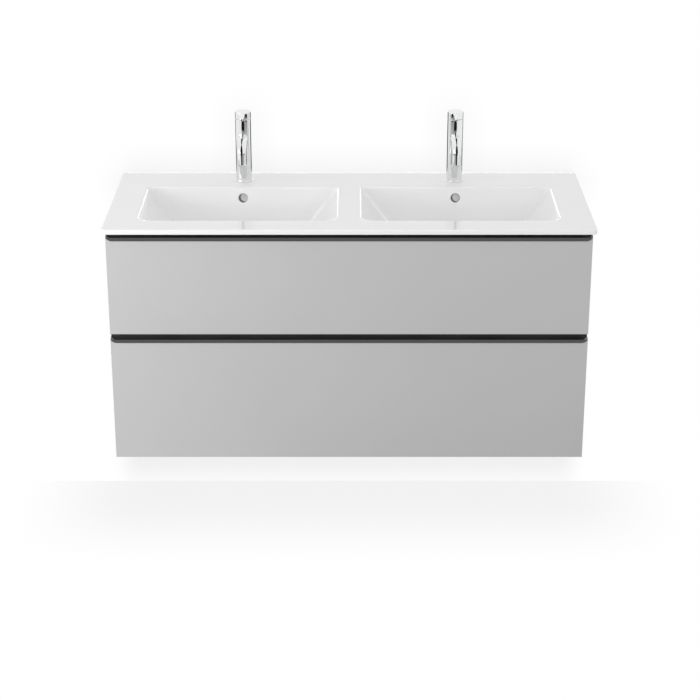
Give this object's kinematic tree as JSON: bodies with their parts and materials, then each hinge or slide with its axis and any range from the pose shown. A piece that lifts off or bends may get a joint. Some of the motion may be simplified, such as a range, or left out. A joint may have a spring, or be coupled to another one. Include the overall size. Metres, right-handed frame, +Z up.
{
  "type": "wall-hung bathroom vanity cabinet",
  "caption": "Wall-hung vanity cabinet with two full-width drawers, a double washbasin and single-lever taps.",
  "frame": {"origin": "on the wall plane, at the middle of the four wall screws that hang the cabinet", "axes": "+X to the right along the wall as seen from the room, +Y into the wall, +Z up"},
  "size_m": [1.3, 0.54, 0.869],
  "materials": {
    "anodised": "black anodised, satin",
    "carcass": "matt light grey board",
    "ceramic": "white sanitary glaze",
    "chrome": "polished chrome plate",
    "lacquer": "matt light grey lacquer on MDF",
    "plastic": "dark grey plastic",
    "sealant": "white silicone",
    "steel": "zinc-plated steel"
  },
  "bodies": {
    "cabinet": {"side_panel_left": "carcass", "side_panel_right": "carcass", "bottom_panel": "carcass", "back_rail_upper": "carcass", "back_rail_lower": "carcass", "front_rail": "carcass", "hanger_left": "steel", "hanger_right": "steel", "hanger_screws": "steel", "wall_plate_left": "steel", "wall_plate_right": "steel", "basin_seal": "sealant", "washbasin": "ceramic", "upper_runner_rails": "steel", "lower_runner_rails": "steel", "tap_body_left": "chrome", "tap_ring_left": "chrome", "tap_aerator_left": "plastic", "tap_shank_left": "steel", "tap_nut_left": "steel", "waste_body_left": "chrome", "waste_nut_left": "plastic", "trap_left": "chrome", "wall_flange_left": "chrome", "tap_body_right": "chrome", "tap_ring_right": "chrome", "tap_aerator_right": "plastic", "tap_shank_right": "steel", "tap_nut_right": "steel", "waste_body_right": "chrome", "waste_nut_right": "plastic", "trap_right": "chrome", "wall_flange_right": "chrome"},
    "upper_drawer": {"upper_front": "lacquer", "upper_grip": "anodised", "upper_side_left": "carcass", "upper_side_right": "carcass", "upper_bottom": "carcass", "upper_back_left": "carcass", "upper_back_centre": "carcass", "upper_back_right": "carcass", "trap_shroud_left": "carcass", "trap_shroud_right": "carcass", "upper_runner_carriages": "steel"},
    "lower_drawer": {"lower_front": "lacquer", "lower_grip": "anodised", "lower_side_left": "carcass", "lower_side_right": "carcass", "lower_bottom": "carcass", "lower_back": "carcass", "lower_runner_carriages": "steel"},
    "upper_sliders": {"upper_runner_sliders": "steel"},
    "lower_sliders": {"lower_runner_sliders": "steel"},
    "tap_cartridge_left": {"tap_cartridge_left": "steel"},
    "tap_lever_left": {"tap_lever_left": "chrome"},
    "waste_plug_left": {"waste_plug_left": "chrome"},
    "tap_cartridge_right": {"tap_cartridge_right": "steel"},
    "tap_lever_right": {"tap_lever_right": "chrome"},
    "waste_plug_right": {"waste_plug_right": "chrome"}
  },
  "joints": [
    {"name": "upper_drawer_slide", "type": "slide", "parent": "cabinet", "child": "upper_drawer", "axis": [0, -1, 0], "range_m": [0, 0.4]},
    {"name": "lower_drawer_slide", "type": "slide", "parent": "cabinet", "child": "lower_drawer", "axis": [0, -1, 0], "range_m": [0, 0.4]},
    {"name": "upper_slider_slide", "type": "slide", "parent": "cabinet", "child": "upper_sliders", "axis": [0, -1, 0], "range_m": [0, 0.2]},
    {"name": "lower_slider_slide", "type": "slide", "parent": "cabinet", "child": "lower_sliders", "axis": [0, -1, 0], "range_m": [0, 0.2]},
    {"name": "tap_swivel_left", "type": "hinge", "parent": "cabinet", "child": "tap_cartridge_left", "pos_m": [-0.298, -0.0715, 0.2], "axis": [0, 0, 1], "range_deg": [-50, 50]},
    {"name": "tap_lift_left", "type": "hinge", "parent": "tap_cartridge_left", "child": "tap_lever_left", "pos_m": [-0.298, -0.0715, 0.24], "axis": [-1, 0, 0], "range_deg": [0, 20]},
    {"name": "waste_plug_slide_left", "type": "slide", "parent": "cabinet", "child": "waste_plug_left", "axis": [0, 0, 1], "range_m": [0, 0.008]},
    {"name": "tap_swivel_right", "type": "hinge", "parent": "cabinet", "child": "tap_cartridge_right", "pos_m": [0.298, -0.0715, 0.2], "axis": [0, 0, 1], "range_deg": [-50, 50]},
    {"name": "tap_lift_right", "type": "hinge", "parent": "tap_cartridge_right", "child": "tap_lever_right", "pos_m": [0.298, -0.0715, 0.24], "axis": [-1, 0, 0], "range_deg": [0, 20]},
    {"name": "waste_plug_slide_right", "type": "slide", "parent": "cabinet", "child": "waste_plug_right", "axis": [0, 0, 1], "range_m": [0, 0.008]}
  ],
  "couplings": [
    {"joint": "upper_slider_slide", "follows": "upper_drawer_slide", "ratio": 0.5},
    {"joint": "lower_slider_slide", "follows": "lower_drawer_slide", "ratio": 0.5}
  ]
}
